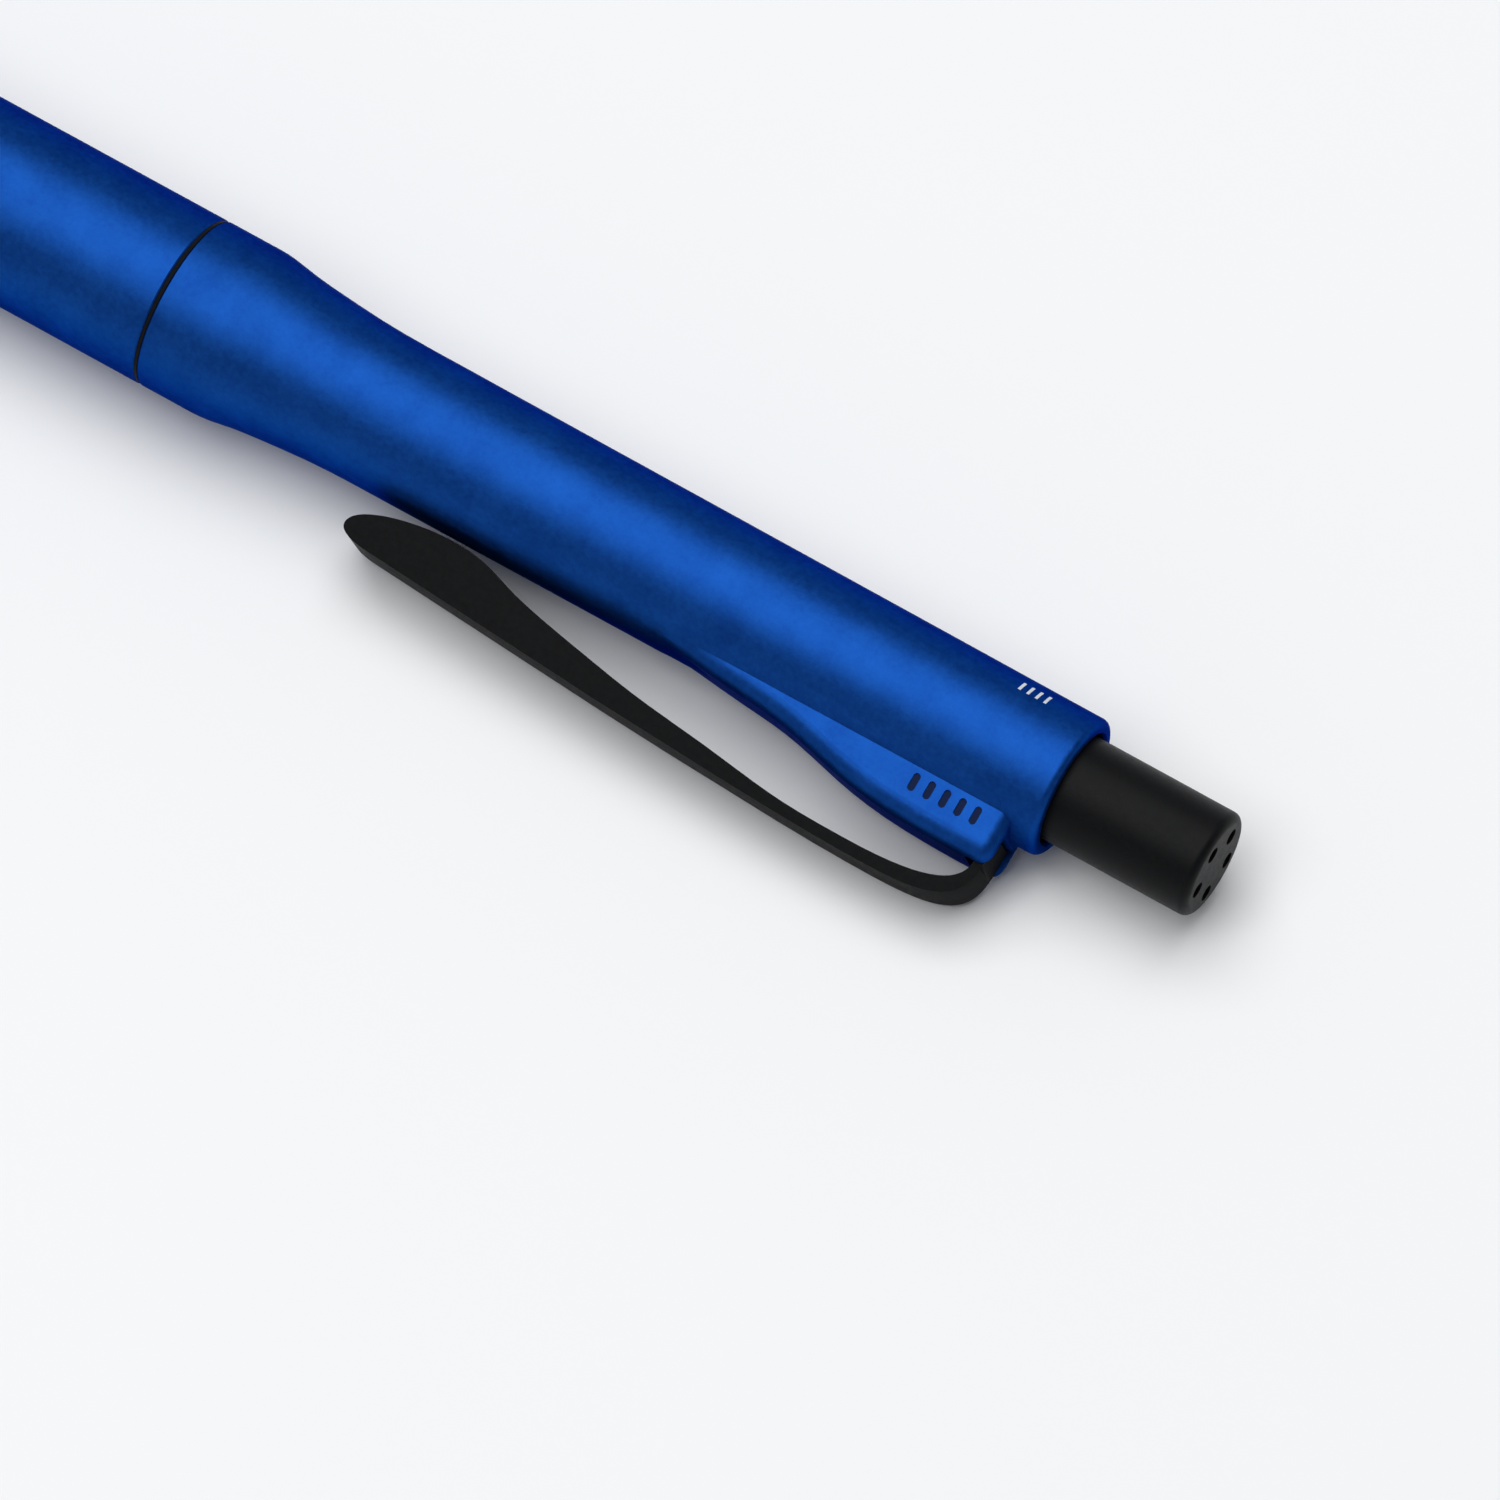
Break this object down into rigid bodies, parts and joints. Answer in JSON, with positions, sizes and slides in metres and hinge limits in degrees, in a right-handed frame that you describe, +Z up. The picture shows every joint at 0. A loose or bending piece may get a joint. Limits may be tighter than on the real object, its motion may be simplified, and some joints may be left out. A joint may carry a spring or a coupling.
{
  "type": "retractable marker pen",
  "caption": "Click-action marker pen for testing banknotes: two-part metal barrel, waisted rear half, pocket clip, push button, spring-returned ink refill behind a slit seal.",
  "frame": {"origin": "centre of the bounding box's footprint, on the surface that the pen lies on (the lowest line of the barrel's widest part)", "axes": "+X along the pen's axis from nose to button, +Z up; the clip points to -Y and 17 degrees below the horizontal"},
  "size_m": [0.142, 0.0168, 0.0118],
  "materials": {
    "blue_anodised": "satin, metallic blue",
    "black_clip": "satin black",
    "black_plastic": "satin black, fine moulded grain",
    "nose_black": "satin black anodised",
    "seam_black": "matt black",
    "silicone": "matt translucent grey",
    "o_ring_rubber": "matt black",
    "spring_steel": "drawn wire",
    "brass": "turned",
    "bush_plastic": "moulded dark grey",
    "mechanism_white": "moulded acetal, off-white",
    "rotor_plastic": "moulded acetal, grey-blue",
    "refill_white": "translucent white polypropylene",
    "plug_plastic": "moulded dark grey",
    "ink_fibre": "fibre rod soaked with amber-brown iodine ink",
    "nib_fibre": "bonded fibre, amber-brown"
  },
  "bodies": {
    "rear": {"rear_barrel": "blue_anodised", "joint_sleeve": "brass", "barrel_o_ring": "o_ring_rubber", "seam_ring": "seam_black", "cam_sleeve": "mechanism_white"},
    "front": {"front_barrel": "blue_anodised", "thread_bush": "bush_plastic", "nose_cone": "nose_black", "nib_seal": "silicone", "seal_lip_upper": "silicone", "seal_lip_lower": "silicone", "seal_retainer": "bush_plastic", "return_spring": "spring_steel"},
    "refill": {"refill_tube": "refill_white", "reservoir_plug": "plug_plastic", "ink_reservoir": "ink_fibre", "nib_holder": "refill_white", "nib": "nib_fibre"},
    "rotor": {"cam_rotor": "rotor_plastic"},
    "button": {"button_cap": "black_plastic", "plunger": "mechanism_white"},
    "clip": {"clip": "black_clip"}
  },
  "joints": [
    {"name": "button_press", "type": "slide", "parent": "rear", "child": "button", "axis": [-1, 0, 0], "range_m": [0, 0.007], "stiffness_N_per_m": 180, "springref_m": -0.006, "deforming": ["return_spring", "seal_lip_upper", "seal_lip_lower"]},
    {"name": "refill_slide", "type": "slide", "parent": "rear", "child": "refill", "axis": [-1, 0, 0], "range_m": [0, 0.007]},
    {"name": "rotor_turn", "type": "hinge", "parent": "refill", "child": "rotor", "pos_m": [0.029, 0.00246, 0.0059], "axis": [1, 0, 0], "range_deg": [0, 22.5]},
    {"name": "clip_flex", "type": "hinge", "parent": "rear", "child": "clip", "pos_m": [0.0582, -0.00261, 0.00435], "axis": [0, -0.2924, 0.9563], "range_deg": [0, 4.5], "stiffness_Nm_per_rad": 1.6, "springref_deg": -1.72},
    {"name": "front_pull", "type": "slide", "parent": "rear", "child": "front", "axis": [-1, 0, 0], "range_m": [0, 0.07]}
  ],
  "couplings": [
    {"joint": "refill_slide", "follows": "button_press", "ratio": 1},
    {"joint": "rotor_turn", "follows": "button_press", "rad_per_m": 56.094}
  ]
}
